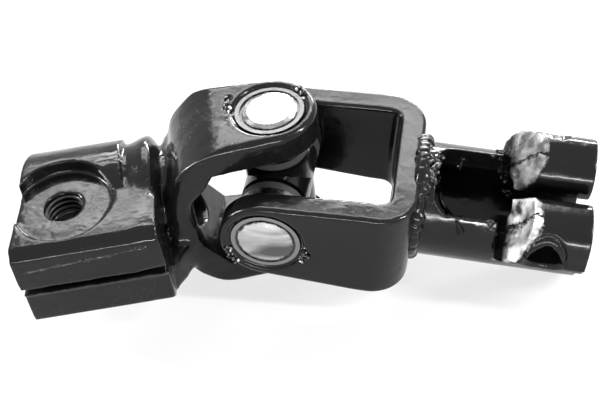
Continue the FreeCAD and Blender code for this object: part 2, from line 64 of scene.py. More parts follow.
def axes_from(along, upright):
    x = Vector(along).normalized()
    z = Vector(upright)
    z = (z - x * x.dot(z)).normalized()
    y = z.cross(x)
    turn = Matrix((x, y, z)).transposed().to_4x4()
    return Matrix.Translation(CENTRE) @ turn


LEFT = axes_from(-Vector(mounts["left_clamp_bore"]["axis"]), pins["left_pin"]["axis"])
RIGHT = axes_from(mounts["right_clamp_bore"]["axis"], pins["right_pin"]["axis"])
SLEEVE = axes_from(mounts["right_clamp_bore"]["axis"], mounts["right_bolt_hole"]["axis"])
print("centre of the cross", [round(v, 5) for v in CENTRE])

# %% Sizes that the source of the part gives
DOME = 6.4 * MM
BOLT = Vector((-49.5, -10.2, 0.0)) * MM
THREAD_CORE = 4.4 * MM
TUBE_RADIUS = 13.5
SLOT_HALF = 1.2 * MM
EAR_FROM = 50.0
EAR_TOP = 16.0 * MM
EAR_HALF = 16.4 * MM
EAR_START = Vector((51.5, 3.5, 0.0)) * MM
EAR_STOP = Vector((59.0, 16.5, 0.0)) * MM
print("cap dome", DOME, "thread core", THREAD_CORE, "ear half width", EAR_HALF)

# %% [markdown]
# The camera looks down at about 45 degrees from the front. Its place was worked out from the
# two caps, whose circles show as ellipses and so tell how each pin is turned to the viewer.

# %% Camera
view = bpy.data.cameras.new("photo_view")
view.sensor_width = 36.0
view.lens = 66.0
view.clip_start = 0.01
camera = bpy.data.objects.new("photo_view", view)
bpy.context.scene.collection.objects.link(camera)
CAMERA_REACH = (0.02298, -0.18987, 0.18358)
looking = Matrix(((0.99685, 0.03782, 0.06966), (0.02205, 0.71185, -0.70198),
                  (-0.07614, 0.70131, 0.70878)))
camera.matrix_world = Matrix.Translation(CENTRE + Vector(CAMERA_REACH)) @ looking.to_4x4()
bpy.context.scene.camera = camera
bpy.context.scene.view_settings.view_transform = "Standard"
print("camera at", [round(v, 4) for v in camera.location])


def near_ear_side():
    """1 where the ear that faces the camera lies on the bolt's positive side, or else -1."""
    return 1.0 if (SLEEVE.to_3x3() @ Vector((0, 0, 1))).dot(looking.col[2]) > 0 else -1.0


NEAR_SIDE = near_ear_side()
print("near ear on side", NEAR_SIDE)

# %% [markdown]
# One effect serves every painted piece: paint that was dipped on flows into shallow waves, and
# grit under it stands out as small grains. It is a node group, so that each piece can say how
# rough its metal is under the paint.

# %% A node group for the dipped paint's surface


def new_group(name, inputs, outputs):
    group = bpy.data.node_groups.new(name, "ShaderNodeTree")
    for label, kind, value in inputs:
        socket = group.interface.new_socket(label, in_out="INPUT", socket_type=kind)
        if value is not None:
            socket.default_value = value
    for label, kind in outputs:
        group.interface.new_socket(label, in_out="OUTPUT", socket_type=kind)
    start = group.nodes.new("NodeGroupInput")
    end = group.nodes.new("NodeGroupOutput")
    return group, start, end


def add(tree, kind, **values):
    node = tree.nodes.new(kind)
    for name, value in values.items():
        if hasattr(node, name):
            setattr(node, name, value)
        else:
            node.inputs[name.replace("_", " ")].default_value = value
    return node


def math_node(tree, operation, first, second):
    node = tree.nodes.new("ShaderNodeMath")
    node.operation = operation
    for socket, value in zip(node.inputs, (first, second)):
        if isinstance(value, (int, float)):
            socket.default_value = value
        else:
            tree.links.new(value, socket)
    return node.outputs[0]


def spread(tree, value, low, high, to_low=0.0, to_high=1.0):
    node = tree.nodes.new("ShaderNodeMapRange")
    tree.links.new(value, node.inputs["Value"])
    node.inputs["From Min"].default_value = low
    node.inputs["From Max"].default_value = high
    node.inputs["To Min"].default_value = to_low
    node.inputs["To Max"].default_value = to_high
    return node.outputs["Result"]


def make_paint_group():
    group, start, end = new_group(
        "DippedPaint",
        [("Position", "NodeSocketVector", None), ("Wave", "NodeSocketFloat", 1.0),
         ("Grain", "NodeSocketFloat", 1.0), ("Grain Size", "NodeSocketFloat", 0.6)],
        [("Height", "NodeSocketFloat"), ("Roughness", "NodeSocketFloat"),
         ("Dust", "NodeSocketFloat")])
    wave = add(group, "ShaderNodeTexNoise", Scale=260.0, Detail=2.0)
    group.links.new(start.outputs["Position"], wave.inputs["Vector"])
    grit = add(group, "ShaderNodeTexNoise", Scale=1700.0, Detail=3.0, Roughness=0.6)
    group.links.new(start.outputs["Position"], grit.inputs["Vector"])
    patch = add(group, "ShaderNodeTexNoise", Scale=120.0, Detail=2.0)
    group.links.new(start.outputs["Position"], patch.inputs["Vector"])
    grains = spread(group, grit.outputs["Fac"], 0.62, 0.76)
    grains = math_node(group, "MULTIPLY", grains,
                       spread(group, patch.outputs["Fac"], 0.48, 0.66))
    grains = math_node(group, "MULTIPLY", grains, start.outputs["Grain"])
    waves = math_node(group, "MULTIPLY", wave.outputs["Fac"], start.outputs["Wave"])
    height = math_node(group, "ADD", waves, math_node(group, "MULTIPLY", grains, 0.5))
    group.links.new(height, end.inputs["Height"])
    rough = spread(group, patch.outputs["Fac"], 0.3, 0.7, 0.1, 0.26)
    group.links.new(rough, end.inputs["Roughness"])
    group.links.new(grains, end.inputs["Dust"])
    return group


paint_group = make_paint_group()
print("group", paint_group.name, [item.name for item in paint_group.interface.items_tree])

# %% [markdown]
# Black gloss paint is mostly its reflections: a nearly black base, a smooth clear coat and a
# little bump. The Principled shader stays in each material and takes plain numbers on its own
# sockets, and only roughness, colour and normal come from the group.

# %% Materials of the painted pieces


def painted(name, wave, grain, colour=(0.004, 0.004, 0.0042), bump=0.5, coat=0.1):
    material = bpy.data.materials.new(name)
    material.use_nodes = True
    tree = material.node_tree
    shader = tree.nodes["Principled BSDF"]
    shader.inputs["Coat Weight"].default_value = coat
    shader.inputs["Coat Roughness"].default_value = 0.04
    shader.inputs["Specular IOR Level"].default_value = 0.2
    place = tree.nodes.new("ShaderNodeTexCoord")
    paint = tree.nodes.new("ShaderNodeGroup")
    paint.node_tree = paint_group
    tree.links.new(place.outputs["Object"], paint.inputs["Position"])
    paint.inputs["Wave"].default_value = wave
    paint.inputs["Grain"].default_value = grain
    mix = tree.nodes.new("ShaderNodeMix")
    mix.data_type = "RGBA"
    mix.inputs["A"].default_value = (*colour, 1.0)
    mix.inputs["B"].default_value = (0.03, 0.03, 0.03, 1.0)
    tree.links.new(paint.outputs["Dust"], mix.inputs["Factor"])
    tree.links.new(mix.outputs["Result"], shader.inputs["Base Color"])
    tree.links.new(paint.outputs["Roughness"], shader.inputs["Roughness"])
    raised = tree.nodes.new("ShaderNodeBump")
    raised.inputs["Strength"].default_value = bump
    raised.inputs["Distance"].default_value = 0.0004
    tree.links.new(paint.outputs["Height"], raised.inputs["Height"])
    tree.links.new(raised.outputs["Normal"], shader.inputs["Normal"])
    return material


forged_black = painted("forged_black", 1.0, 1.0)
plate_black = painted("plate_black", 0.7, 0.25)
weld_black = painted("weld_black", 1.2, 0.3, bump=0.6)
burr_black = painted("burr_black", 0.6, 0.3, colour=(0.006, 0.006, 0.006), bump=0.3, coat=1.0)
thread_steel = painted("thread_steel", 0.6, 0.3, colour=(0.05, 0.05, 0.05), bump=0.3)
print("painted materials", [m.name for m in (forged_black, plate_black, weld_black)])

# %% [markdown]
# The slanted ends of the pinch ears were sheared, and the paint hardly covers the torn metal.
# The sleeve's paint therefore mixes with grey metal where a point lies close to that plane. On
# the near ear that grey runs much lighter in patches, which is a painted highlight on its hollow.

# %% Paint of the sleeve, with torn metal on the ears' slanted ends


def sleeve_paint():
    material = painted("sleeve_black", 0.7, 0.25)
    tree = material.node_tree
    shader = tree.nodes["Principled BSDF"]
    place = tree.nodes.new("ShaderNodeTexCoord")
    along = (EAR_STOP - EAR_START).normalized()
    out = SLEEVE.to_3x3() @ Vector((-along.y, along.x, 0.0))
    foot = SLEEVE @ EAR_START
    arm = add(tree, "ShaderNodeVectorMath", operation="SUBTRACT")
    tree.links.new(place.outputs["Object"], arm.inputs[0])
    arm.inputs[1].default_value = foot
    height = add(tree, "ShaderNodeVectorMath", operation="DOT_PRODUCT")
    tree.links.new(arm.outputs[0], height.inputs[0])
    height.inputs[1].default_value = out
    radial = add(tree, "ShaderNodeVectorMath", operation="DOT_PRODUCT")
    tree.links.new(arm.outputs[0], radial.inputs[0])
    radial.inputs[1].default_value = SLEEVE.to_3x3() @ along
    noise = add(tree, "ShaderNodeTexNoise", Scale=900.0, Detail=5.0, Roughness=0.7)
    tree.links.new(place.outputs["Object"], noise.inputs["Vector"])
    smear = spread(tree, noise.outputs["Fac"], 0.3, 0.7, -0.0004, 0.0004)
    near = math_node(tree, "ABSOLUTE", math_node(tree, "ADD", height.outputs["Value"], 0.0006), 0)
    near = math_node(tree, "ADD", near, smear)
    torn = spread(tree, near, 0.0012, 0.0007)
    torn = math_node(tree, "MULTIPLY", torn,
                     spread(tree, radial.outputs["Value"], 0.004, 0.006))
    base = shader.inputs["Base Color"].links[0].from_socket
    mix = tree.nodes.new("ShaderNodeMix")
    mix.data_type = "RGBA"
    tree.links.new(torn, mix.inputs["Factor"])
    across = add(tree, "ShaderNodeVectorMath", operation="DOT_PRODUCT")
    tree.links.new(arm.outputs[0], across.inputs[0])
    across.inputs[1].default_value = SLEEVE.to_3x3() @ Vector((0, 0, 1)) * NEAR_SIDE
    near_ear = spread(tree, across.outputs["Value"], 0.0, 0.001)
    wander = spread(tree, noise.outputs["Fac"], 0.3, 0.7, -0.0008, 0.0008)
    line = math_node(tree, "ABSOLUTE", across.outputs["Value"], 0)
    line = math_node(tree, "ADD", math_node(tree, "SUBTRACT", line, 0.0076), wander)
    crack = spread(tree, math_node(tree, "ABSOLUTE", line, 0), 0.00045, 0.00025)
    patchy = add(tree, "ShaderNodeTexNoise", Scale=330.0, Detail=3.0)
    tree.links.new(place.outputs["Object"], patchy.inputs["Vector"])
    far_grey = spread(tree, patchy.outputs["Fac"], 0.4, 0.65, 0.06, 0.26)
    # The near ear's torn grey reaches much lighter values than the far ear's. Those light patches are a painted
    # highlight of its hollow face, over the torn metal's own tone.
    near_grey_with_painted_highlight = spread(tree, patchy.outputs["Fac"], 0.35, 0.6, 0.03, 0.75)
    grey = math_node(tree, "ADD",
                     math_node(tree, "MULTIPLY", far_grey,
                               math_node(tree, "SUBTRACT", 1.0, near_ear)),
                     math_node(tree, "MULTIPLY", near_grey_with_painted_highlight, near_ear))
    grey = math_node(tree, "MULTIPLY", grey, math_node(tree, "SUBTRACT", 1.0, crack))
    tone = tree.nodes.new("ShaderNodeCombineColor")
    for socket in tone.inputs[:3]:
        tree.links.new(grey, socket)
    tree.links.new(tone.outputs["Color"], mix.inputs["B"])
    tree.links.new(base, mix.inputs["A"])
    tree.links.new(mix.outputs["Result"], shader.inputs["Base Color"])
    tree.links.new(math_node(tree, "MULTIPLY", torn, 0.9), shader.inputs["Metallic"])
    rough = shader.inputs["Roughness"].links[0].from_socket
    tree.links.new(math_node(tree, "ADD", rough, math_node(tree, "MULTIPLY", torn, 0.18)),
                   shader.inputs["Roughness"])
    bump = next(node for node in tree.nodes if node.type == "BUMP")
    paint_height = bump.inputs["Height"].links[0].from_socket
    rugged = math_node(tree, "MULTIPLY", noise.outputs["Fac"],
                       math_node(tree, "MULTIPLY", torn, 2.2))
    tree.links.new(math_node(tree, "ADD", paint_height, rugged), bump.inputs["Height"])
    return material


sleeve_black = sleeve_paint()
print("sleeve paint", len(sleeve_black.node_tree.nodes), "nodes")

# %% [markdown]
# A cap's dome is wiped bright, and the paint still lies in its ring groove and on its rim. The
# material measures how far a point lies from the cap's own axis and changes there from steel
# to paint, so one rule serves all four caps. The bands of lighter and darker grey on the dome
# are a painted reflection. The right caps' rims and domes are painted lighter than the left
# ones, which paints the brighter light they catch.

# %% Materials of the caps, rollers, seals and thrust pins


def plain(name, colour, roughness, metallic=0.0):
    material = bpy.data.materials.new(name)
    material.use_nodes = True
    shader = material.node_tree.nodes["Principled BSDF"]
    shader.inputs["Base Color"].default_value = (*colour, 1.0)
    shader.inputs["Roughness"].default_value = roughness
    shader.inputs["Metallic"].default_value = metallic
    return material


def textured(material, scale, low, high, bump=0.0):
    """Lets the roughness wander between two values."""
    tree = material.node_tree
    shader = tree.nodes["Principled BSDF"]
    place = tree.nodes.new("ShaderNodeTexCoord")
    noise = add(tree, "ShaderNodeTexNoise", Scale=scale, Detail=3.0)
    tree.links.new(place.outputs["Object"], noise.inputs["Vector"])
    tree.links.new(spread(tree, noise.outputs["Fac"], 0.3, 0.7, low, high),
                   shader.inputs["Roughness"])
    if bump:
        raised = tree.nodes.new("ShaderNodeBump")
        raised.inputs["Strength"].default_value = bump
        raised.inputs["Distance"].default_value = 0.0002
        tree.links.new(noise.outputs["Fac"], raised.inputs["Height"])
        tree.links.new(raised.outputs["Normal"], shader.inputs["Normal"])
    return material


def cap_material(name, axis, rim_grey_and_painted_light, dome_reflection_greys):
    material = bpy.data.materials.new(name)
    material.use_nodes = True
    tree = material.node_tree
    shader = tree.nodes["Principled BSDF"]
    place = tree.nodes.new("ShaderNodeTexCoord")
    arm = add(tree, "ShaderNodeVectorMath", operation="SUBTRACT")
    tree.links.new(place.outputs["Object"], arm.inputs[0])
    arm.inputs[1].default_value = CENTRE
    cross = add(tree, "ShaderNodeVectorMath", operation="CROSS_PRODUCT")
    tree.links.new(arm.outputs[0], cross.inputs[0])
    cross.inputs[1].default_value = axis
    length = add(tree, "ShaderNodeVectorMath", operation="LENGTH")
    tree.links.new(cross.outputs[0], length.inputs[0])
    noise = add(tree, "ShaderNodeTexNoise", Scale=700.0, Detail=3.0)
    tree.links.new(place.outputs["Object"], noise.inputs["Vector"])
    smear = spread(tree, noise.outputs["Fac"], 0.3, 0.7, -0.00025, 0.00025)
    radius = math_node(tree, "ADD", length.outputs["Value"], smear)
    groove = math_node(tree, "MULTIPLY", spread(tree, radius, DOME - 0.0003, DOME),
                       spread(tree, radius, DOME + 0.00045, DOME + 0.0007, 1.0, 0.0))
    rim = spread(tree, radius, DOME + 0.0004, DOME + 0.0006)
    # The dome's bands are a painted reflection: a stretched noise picks lighter and darker greys for the steel's
    # colour, standing in for the bright and dark bands that the dome reflects.
    stretch = tree.nodes.new("ShaderNodeMapping")
    stretch.inputs["Scale"].default_value = (55.0, 230.0, 230.0)
    tree.links.new(place.outputs["Object"], stretch.inputs["Vector"])
    dome_reflection_bands = add(tree, "ShaderNodeTexNoise", Scale=1.0, Detail=2.0, Roughness=0.45, Distortion=0.6)
    tree.links.new(stretch.outputs["Vector"], dome_reflection_bands.inputs["Vector"])
    painted_reflection_streaks = tree.nodes.new("ShaderNodeValToRGB")
    painted_reflection_streaks.color_ramp.elements[0].position = 0.36
    painted_reflection_streaks.color_ramp.elements[0].color = (*[dome_reflection_greys[0]] * 3, 1.0)
    painted_reflection_streaks.color_ramp.elements[1].position = 0.62
    painted_reflection_streaks.color_ramp.elements[1].color = (*[dome_reflection_greys[2]] * 3, 1.0)
    middle = painted_reflection_streaks.color_ramp.elements.new(0.48)
    middle.color = (*[dome_reflection_greys[1]] * 3, 1.0)
    tree.links.new(dome_reflection_bands.outputs["Fac"], painted_reflection_streaks.inputs["Fac"])
    # The rim's grey is the bare steel's tone, with painted light that makes it lighter on the right caps.
    dome_and_rim_tone = tree.nodes.new("ShaderNodeMix")
    dome_and_rim_tone.data_type = "RGBA"
    dome_and_rim_tone.inputs["B"].default_value = (rim_grey_and_painted_light, rim_grey_and_painted_light, rim_grey_and_painted_light, 1.0)
    tree.links.new(painted_reflection_streaks.outputs["Color"], dome_and_rim_tone.inputs["A"])
    tree.links.new(rim, dome_and_rim_tone.inputs["Factor"])
    mix = tree.nodes.new("ShaderNodeMix")
    mix.data_type = "RGBA"
    mix.inputs["B"].default_value = (0.012, 0.012, 0.012, 1.0)
    tree.links.new(groove, mix.inputs["Factor"])
    tree.links.new(dome_and_rim_tone.outputs["Result"], mix.inputs["A"])
    tree.links.new(mix.outputs["Result"], shader.inputs["Base Color"])
    tree.links.new(math_node(tree, "SUBTRACT", 1.0, groove), shader.inputs["Metallic"])
    tree.links.new(spread(tree, noise.outputs["Fac"], 0.3, 0.7, 0.14, 0.3),
                   shader.inputs["Roughness"])
    return material


CAP_PINS = {"left": Vector(pins["left_pin"]["axis"]), "right": Vector(pins["right_pin"]["axis"])}
# Rim grey, then the dome's three greys, for each side. The right caps' values are lighter than the left ones: that
# is painted light, for the brighter reflection on the right caps, laid over the bare steel's own tone.
CAP_GREYS_WITH_PAINTED_LIGHT = {"left": (0.07, (0.12, 0.26, 0.48)), "right": (0.24, (0.12, 0.32, 0.58))}
cap_steel = {side: cap_material("cap_steel_" + side, axis, *CAP_GREYS_WITH_PAINTED_LIGHT[side])
             for side, axis in CAP_PINS.items()}
bare_burr = textured(plain("bare_burr", (0.5, 0.5, 0.49), 0.3, 1.0), 900.0, 0.2, 0.4, 0.3)
roller_steel = textured(plain("roller_steel", (0.6, 0.6, 0.59), 0.2, 1.0), 900.0, 0.14, 0.3)
seal_rubber = textured(plain("seal_rubber", (0.025, 0.025, 0.026), 0.6), 900.0, 0.45, 0.7, 0.3)
pin_nylon = textured(plain("pin_nylon", (0.72, 0.68, 0.56), 0.4), 700.0, 0.35, 0.5, 0.2)


def dress(node, material):
    mesh = frame["nodes"][node].data
    mesh.materials.clear()
    mesh.materials.append(material)
    for face in mesh.polygons:
        face.material_index = 0


for name in frame["nodes"]:
    kind, dash, seat = name.partition("_")
    if kind == "cup":
        dress(name, cap_steel[seat.split("_")[0]])
    elif kind == "needles":
        dress(name, roller_steel)
    elif kind == "seal":
        dress(name, seal_rubber)
    elif kind == "thrust":
        dress(name, pin_nylon)
dress("cross", plate_black)
dress("left_yoke", forged_black)
dress("right_fork", plate_black)
dress("clamp_sleeve", plate_black)
dress("weld_bead", weld_black)
print("dressed", len(frame["nodes"]), "nodes")

# %% [markdown]
# Dipped paint rounds every edge, and a forging has no sharp edges to begin with. Bevels on a
# CAD mesh with long thin triangles break, so the skin of each painted piece is a copy of its
# node that is rebuilt in even cells and then relaxed: the flats stay and the edges turn round.

# %% Skins with rounded edges


def skin_of(node, cell, passes, keep=1.0):
    """A plain mesh of a CAD node in even cells, with its edges relaxed."""
    source = frame["nodes"][node]
    mesh = source.data.copy()
    work = bmesh.new()
    work.from_mesh(mesh)
    bmesh.ops.remove_doubles(work, verts=work.verts, dist=1e-6)
    work.to_mesh(mesh)
    work.free()
    carrier = bpy.data.objects.new(node + "_skin", mesh)
    bpy.context.scene.collection.objects.link(carrier)
    cells = carrier.modifiers.new("even_cells", "REMESH")
    cells.mode = "VOXEL"
    cells.voxel_size = cell
    relax = carrier.modifiers.new("relax", "SMOOTH")
    relax.factor = 0.5
    relax.iterations = passes
    if keep < 1.0:
        fewer = carrier.modifiers.new("fewer", "DECIMATE")
        fewer.ratio = keep
    carrier.modifiers.update()
    graph = bpy.context.evaluated_depsgraph_get()
    result = bpy.data.meshes.new_from_object(carrier.evaluated_get(graph))
    carrier.modifiers.clear()
    carrier.data = result
    return carrier


def finish_skin(skin, material, body, nodes):
    skin.data.materials.clear()
    skin.data.materials.append(material)
    skin.data.polygons.foreach_set("use_smooth", [True] * len(skin.data.polygons))
    skin.data.update()
    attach(skin, body)
    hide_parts(*nodes)
    print(skin.name, len(skin.data.polygons), "faces")


# %% Points of a skin as an array


def points_of(piece):
    flat = np.empty(len(piece.data.vertices) * 3)
    piece.data.vertices.foreach_get("co", flat)
    return flat.reshape(-1, 3)


def put_points(piece, points):
    piece.data.vertices.foreach_set("co", points.ravel())
    piece.data.update()


def in_axes(axes, points):
    back = np.array(axes.inverted())
    return points @ back[:3, :3].T + back[:3, 3]


def out_of_axes(axes, points):
    ahead = np.array(axes)
    return points @ ahead[:3, :3].T + ahead[:3, 3]


def step_up(values, low, high):
    part = np.clip((values - low) / (high - low), 0.0, 1.0)
    return part * part * (3.0 - 2.0 * part)


def relax_where(piece, weight, passes):
    """Evens out the skin where the weight is high, so that corners there flow together."""
    mesh = piece.data
    pairs = np.empty(len(mesh.edges) * 2, dtype=np.int64)
    mesh.edges.foreach_get("vertices", pairs)
    first, second = pairs.reshape(-1, 2).T
    points = points_of(piece)
    count = np.bincount(pairs, minlength=len(points)).clip(1)[:, None]
    for one_pass in range(passes):
        total = np.zeros_like(points)
        for axis in range(3):
            total[:, axis] = (np.bincount(first, points[second, axis], len(points))
                              + np.bincount(second, points[first, axis], len(points)))
        points += weight[:, None] * 0.6 * (total / count - points)
    put_points(piece, points)


# %% Copies of the three painted pieces
yoke_skin = skin_of("left_yoke", 0.00032, 6, 0.8)
fork_skin = skin_of("right_fork", 0.00030, 4, 0.8)
sleeve_skin = skin_of("clamp_sleeve", 0.00026, 4, 0.8)
print([(piece.name, len(piece.data.polygons)) for piece in (yoke_skin, fork_skin, sleeve_skin)])

# %% [markdown]
# On the real forging the pinch block, the collar and the root of the fork flow into each other,
# and the arms leave the root in a wide curve. The plain solid has straight steps there. So the
# shoulders are first drawn in to that curve. Then the skin's points are moved a little towards
# the fork and evened out many times: the steps turn into wide hollows.

# %% The root of the yoke, all in millimetres
ROOT_SHIFT = 2.7
ROOT_PASSES = 150
BEND_X, BEND_Z, BEND_RADIUS = -10.0, 4.9, 16.8
ROOT_END = -27.5


def flow_root():
    """Moves the steps before the root towards the fork and evens them out."""
    local = in_axes(LEFT, points_of(yoke_skin))
    x, y, z = local.T / MM
    shift = step_up(x, -39.5, -34.0) * (1.0 - step_up(x, -30.5, -23.0))
    local[:, 0] += shift * ROOT_SHIFT * MM
    put_points(yoke_skin, out_of_axes(LEFT, local))
    x = local[:, 0] / MM
    radius = np.hypot(y, z)
    near = step_up(x, -35.0, -32.5) * (1.0 - step_up(x, -22.0, -17.0))
    inside = step_up(radius, 9.0, 10.5)
    on_block = (y < -11.5) * (x < -27.6)
    back = step_up(z, -2.0, 3.0)
    weight = near * inside * (1.0 - 0.85 * on_block) * (0.35 + 0.65 * back)
    relax_where(yoke_skin, weight, ROOT_PASSES)


def round_shoulders():
    """The arms leave the root in a wide curve, one and a half millimetres inside the solid."""
    local = in_axes(LEFT, points_of(yoke_skin))
    x, y, z = local.T / MM
    out_x = x - BEND_X
    out_z = np.abs(z) - BEND_Z
    away = np.hypot(out_x, out_z)
    beyond = (out_x < 0) * (out_z > 0) * (away > BEND_RADIUS) * (x > ROOT_END)
    scale = np.where(beyond, BEND_RADIUS / away, 1.0)
    local[:, 0] = (BEND_X + out_x * scale) * MM
    local[:, 2] = np.where(beyond, np.sign(z) * (BEND_Z + out_z * scale), z) * MM
    put_points(yoke_skin, out_of_axes(LEFT, local))
    ring = np.exp(-((away - BEND_RADIUS) / 1.6) ** 2)
    ring *= (out_x < 1.0) * (out_z > -1.0) * (x > ROOT_END - 1.0)
    relax_where(yoke_skin, ring, 8)


round_shoulders()
flow_root()
print("root evened out")

# %% [markdown]
# Small marks have no size in the source: the punch marks that lock the caps, the drips and the
# weld spatter. Each is placed by the point of the picture where it shows. A ray from the camera
# finds the surface there, so the mark sits on its piece from every side.

# %% Finding a point of a skin from the picture
PICTURE = (600, 400)


def surface_of(piece):
    return BVHTree.FromObject(piece, bpy.context.evaluated_depsgraph_get())


def seen_at(surface, across, down):
    """The place and the outward direction of a surface under a point of the picture."""
    reach = view.lens / view.sensor_width * PICTURE[0]
    way = looking @ Vector((across - PICTURE[0] / 2, PICTURE[1] / 2 - down, -reach))
    place, normal, face, gap = surface.ray_cast(camera.location, way.normalized())
    return place, normal


surfaces = {piece.name: surface_of(piece) for piece in (yoke_skin, fork_skin, sleeve_skin)}
print("hub corner seen at", seen_at(surfaces["left_yoke_skin"], 90, 200))

# %% [markdown]
# A punch drives the ear's metal over the cap in a few places. A dent is the simplest true shape
# for it: the skin's points near the mark are pushed in, deepest in the middle. The same rule
# makes the crack across the near pinch ear and the bevel of its bolt hole.

# %% Dents


def dent(points, place, inward, radius, depth):
    away = np.linalg.norm(points - np.array(place), axis=1) / radius
    near = away < 1.0
    push = depth * (1.0 - away[near] ** 2) ** 1.5
    points[near] += push[:, None] * np.array(inward)


YOKE_PUNCHES = [(228, 98), (227, 106), (231, 111), (299, 90), (303, 95), (301, 101)]
FORK_PUNCHES = [(303, 249), (306, 255), (302, 260), (228, 249), (231, 256), (236, 261)]
marks = {}
for piece, spots in ((yoke_skin, YOKE_PUNCHES), (fork_skin, FORK_PUNCHES)):
    points = points_of(piece)
    marks[piece.name] = []
    for across, down in spots:
        place, normal = seen_at(surfaces[piece.name], across, down)
        dent(points, place, -normal, 1.15 * MM, 0.85 * MM)
        marks[piece.name].append((place, normal))
    put_points(piece, points)
print("punch marks", {name: len(spots) for name, spots in marks.items()})

# %% Pinch ears of the sleeve: the torn face, the crack and the bolt hole's bevel
BOLT_SPOT = Vector((62.5, 10.6, 0.0)) * MM
BOLT_HOLE = 4.2 * MM
BEVEL_EDGE = 5.3 * MM
ARCH_POWER = 2.4
HOLLOW_ACROSS, HOLLOW_CLIMB, HOLLOW_DEPTH = 6.5 * MM, 6.0 * MM, 1.3 * MM
CRACK_ACROSS, CRACK_HALF, CRACK_DEPTH = 8.5 * MM, 0.25 * MM, 0.5 * MM
TEAR_DEPTH = 0.12 * MM
FULLEST = 2.4


def round_ears(local):
    """Each ear is round across, highest in its middle, and swells over the tube's side."""
    half = (EAR_HALF - SLOT_HALF) / 2
    across = (np.abs(local[:, 2]) - SLOT_HALF - half) / half
    foot = EAR_TOP - half
    arch = np.clip(1.0 - np.abs(across) ** ARCH_POWER, 0.0, 1.0) ** (1 / ARCH_POWER)
    top = foot + half * arch
    high = (local[:, 0] > EAR_FROM * MM) * (local[:, 1] > foot)
    local[:, 1] = np.where(high, foot + (local[:, 1] - foot) * (top - foot) / half, local[:, 1])
    x, y, z = local.T / MM
    ear_half = EAR_HALF / MM
    side = np.sqrt(np.clip(TUBE_RADIUS ** 2 - np.clip(-y, 0.0, TUBE_RADIUS) ** 2, 1.0, None))
    side = side + (ear_half - TUBE_RADIUS) * np.clip(y / 10.5, 0.0, 1.0)
    fuller = side + (ear_half - side) * 0.9 * step_up(y, 2.5, 6.5)
    outer = (x > EAR_FROM) * (np.abs(z) > side - 1.6) * (y > 2.0) * (y < 12.0)
    push = np.clip(fuller - side, 0.0, FULLEST) * step_up(x, EAR_FROM, EAR_FROM + 4.0) * outer
    local[:, 2] += np.sign(z) * push * MM


def shape_ears():
    """Rounds the ears, tears their slanted faces and bevels the bolt hole."""
    points = points_of(sleeve_skin)
    local = in_axes(SLEEVE, points)
    round_ears(local)
    along = (EAR_STOP - EAR_START).normalized()
    out = Vector((-along.y, along.x, 0.0))
    depth = (local - np.array(EAR_START)) @ np.array(out)
    across = local[:, 2] * NEAR_SIDE
    climb = (local - np.array(EAR_START)) @ np.array(along)
    on_face = np.exp(-(depth / (0.8 * MM)) ** 2)
    middle = (((across - 8.0 * MM) / HOLLOW_ACROSS) ** 2
              + ((climb - 8.5 * MM) / HOLLOW_CLIMB) ** 2)
    hollow = np.clip(1.0 - middle, 0.0, 1.0) * HOLLOW_DEPTH
    crack_line = CRACK_ACROSS + 0.3 * MM * np.sin(climb * 1800)
    crack = np.exp(-((across - crack_line) / CRACK_HALF) ** 2)
    crack *= (across > 4 * MM) * CRACK_DEPTH
    rough = np.sin(local[:, 2] * 2900) * np.sin(climb * 2300 + local[:, 2] * 900) * TEAR_DEPTH
    push = on_face * (hollow + crack + rough * (across < 0))
    local[:, 0] -= push * out.x
    local[:, 1] -= push * out.y
    arm = np.hypot(local[:, 0] - BOLT_SPOT.x, local[:, 1] - BOLT_SPOT.y)
    wall = np.abs(local[:, 2])
    bevel = np.clip((BEVEL_EDGE - arm) / (1.0 * MM), 0.0, 1.0)
    bevel *= (wall > EAR_HALF - 4.5 * MM) * (arm > BOLT_HOLE)
    local[:, 2] -= np.sign(local[:, 2]) * bevel * 0.8 * MM
    put_points(sleeve_skin, out_of_axes(SLEEVE, local))


shape_ears()
print("ears of", sleeve_skin.name, "rounded, torn and bevelled")

# %% Skins dressed and set on their bodies
finish_skin(yoke_skin, forged_black, "left_yoke_body", ["left_yoke"])
finish_skin(fork_skin, plate_black, "right_fork_body", ["right_fork"])
finish_skin(sleeve_skin, sleeve_black, "right_fork_body", ["clamp_sleeve"])

# %% [markdown]
# Burrs, spatter and flash are many small lumps that differ only in place and size. Geometry
# Nodes suit that: one tree puts a little ball on each point of a mesh, turns and stretches it
# by chance and roughens it. The chance has a fixed seed, so the joint looks the same each time.

# %% A Geometry Nodes tree for lumps


def geometry_tree(name, inputs):
    tree = bpy.data.node_groups.new(name, "GeometryNodeTree")
    tree.interface.new_socket("Geometry", in_out="INPUT", socket_type="NodeSocketGeometry")
    for label, kind in inputs:
        tree.interface.new_socket(label, in_out="INPUT", socket_type=kind)
    tree.interface.new_socket("Geometry", in_out="OUTPUT", socket_type="NodeSocketGeometry")
    return tree, tree.nodes.new("NodeGroupInput"), tree.nodes.new("NodeGroupOutput")


def chance(tree, start, low, high, seed_step):
    node = tree.nodes.new("FunctionNodeRandomValue")
    node.data_type = "FLOAT_VECTOR"
    node.inputs["Min"].default_value = (low, low, low)
    node.inputs["Max"].default_value = (high, high, high)
    seed = tree.nodes.new("ShaderNodeMath")
    seed.inputs[1].default_value = seed_step
    tree.links.new(start.outputs["Seed"], seed.inputs[0])
    tree.links.new(seed.outputs[0], node.inputs["Seed"])
    return node.outputs["Value"]


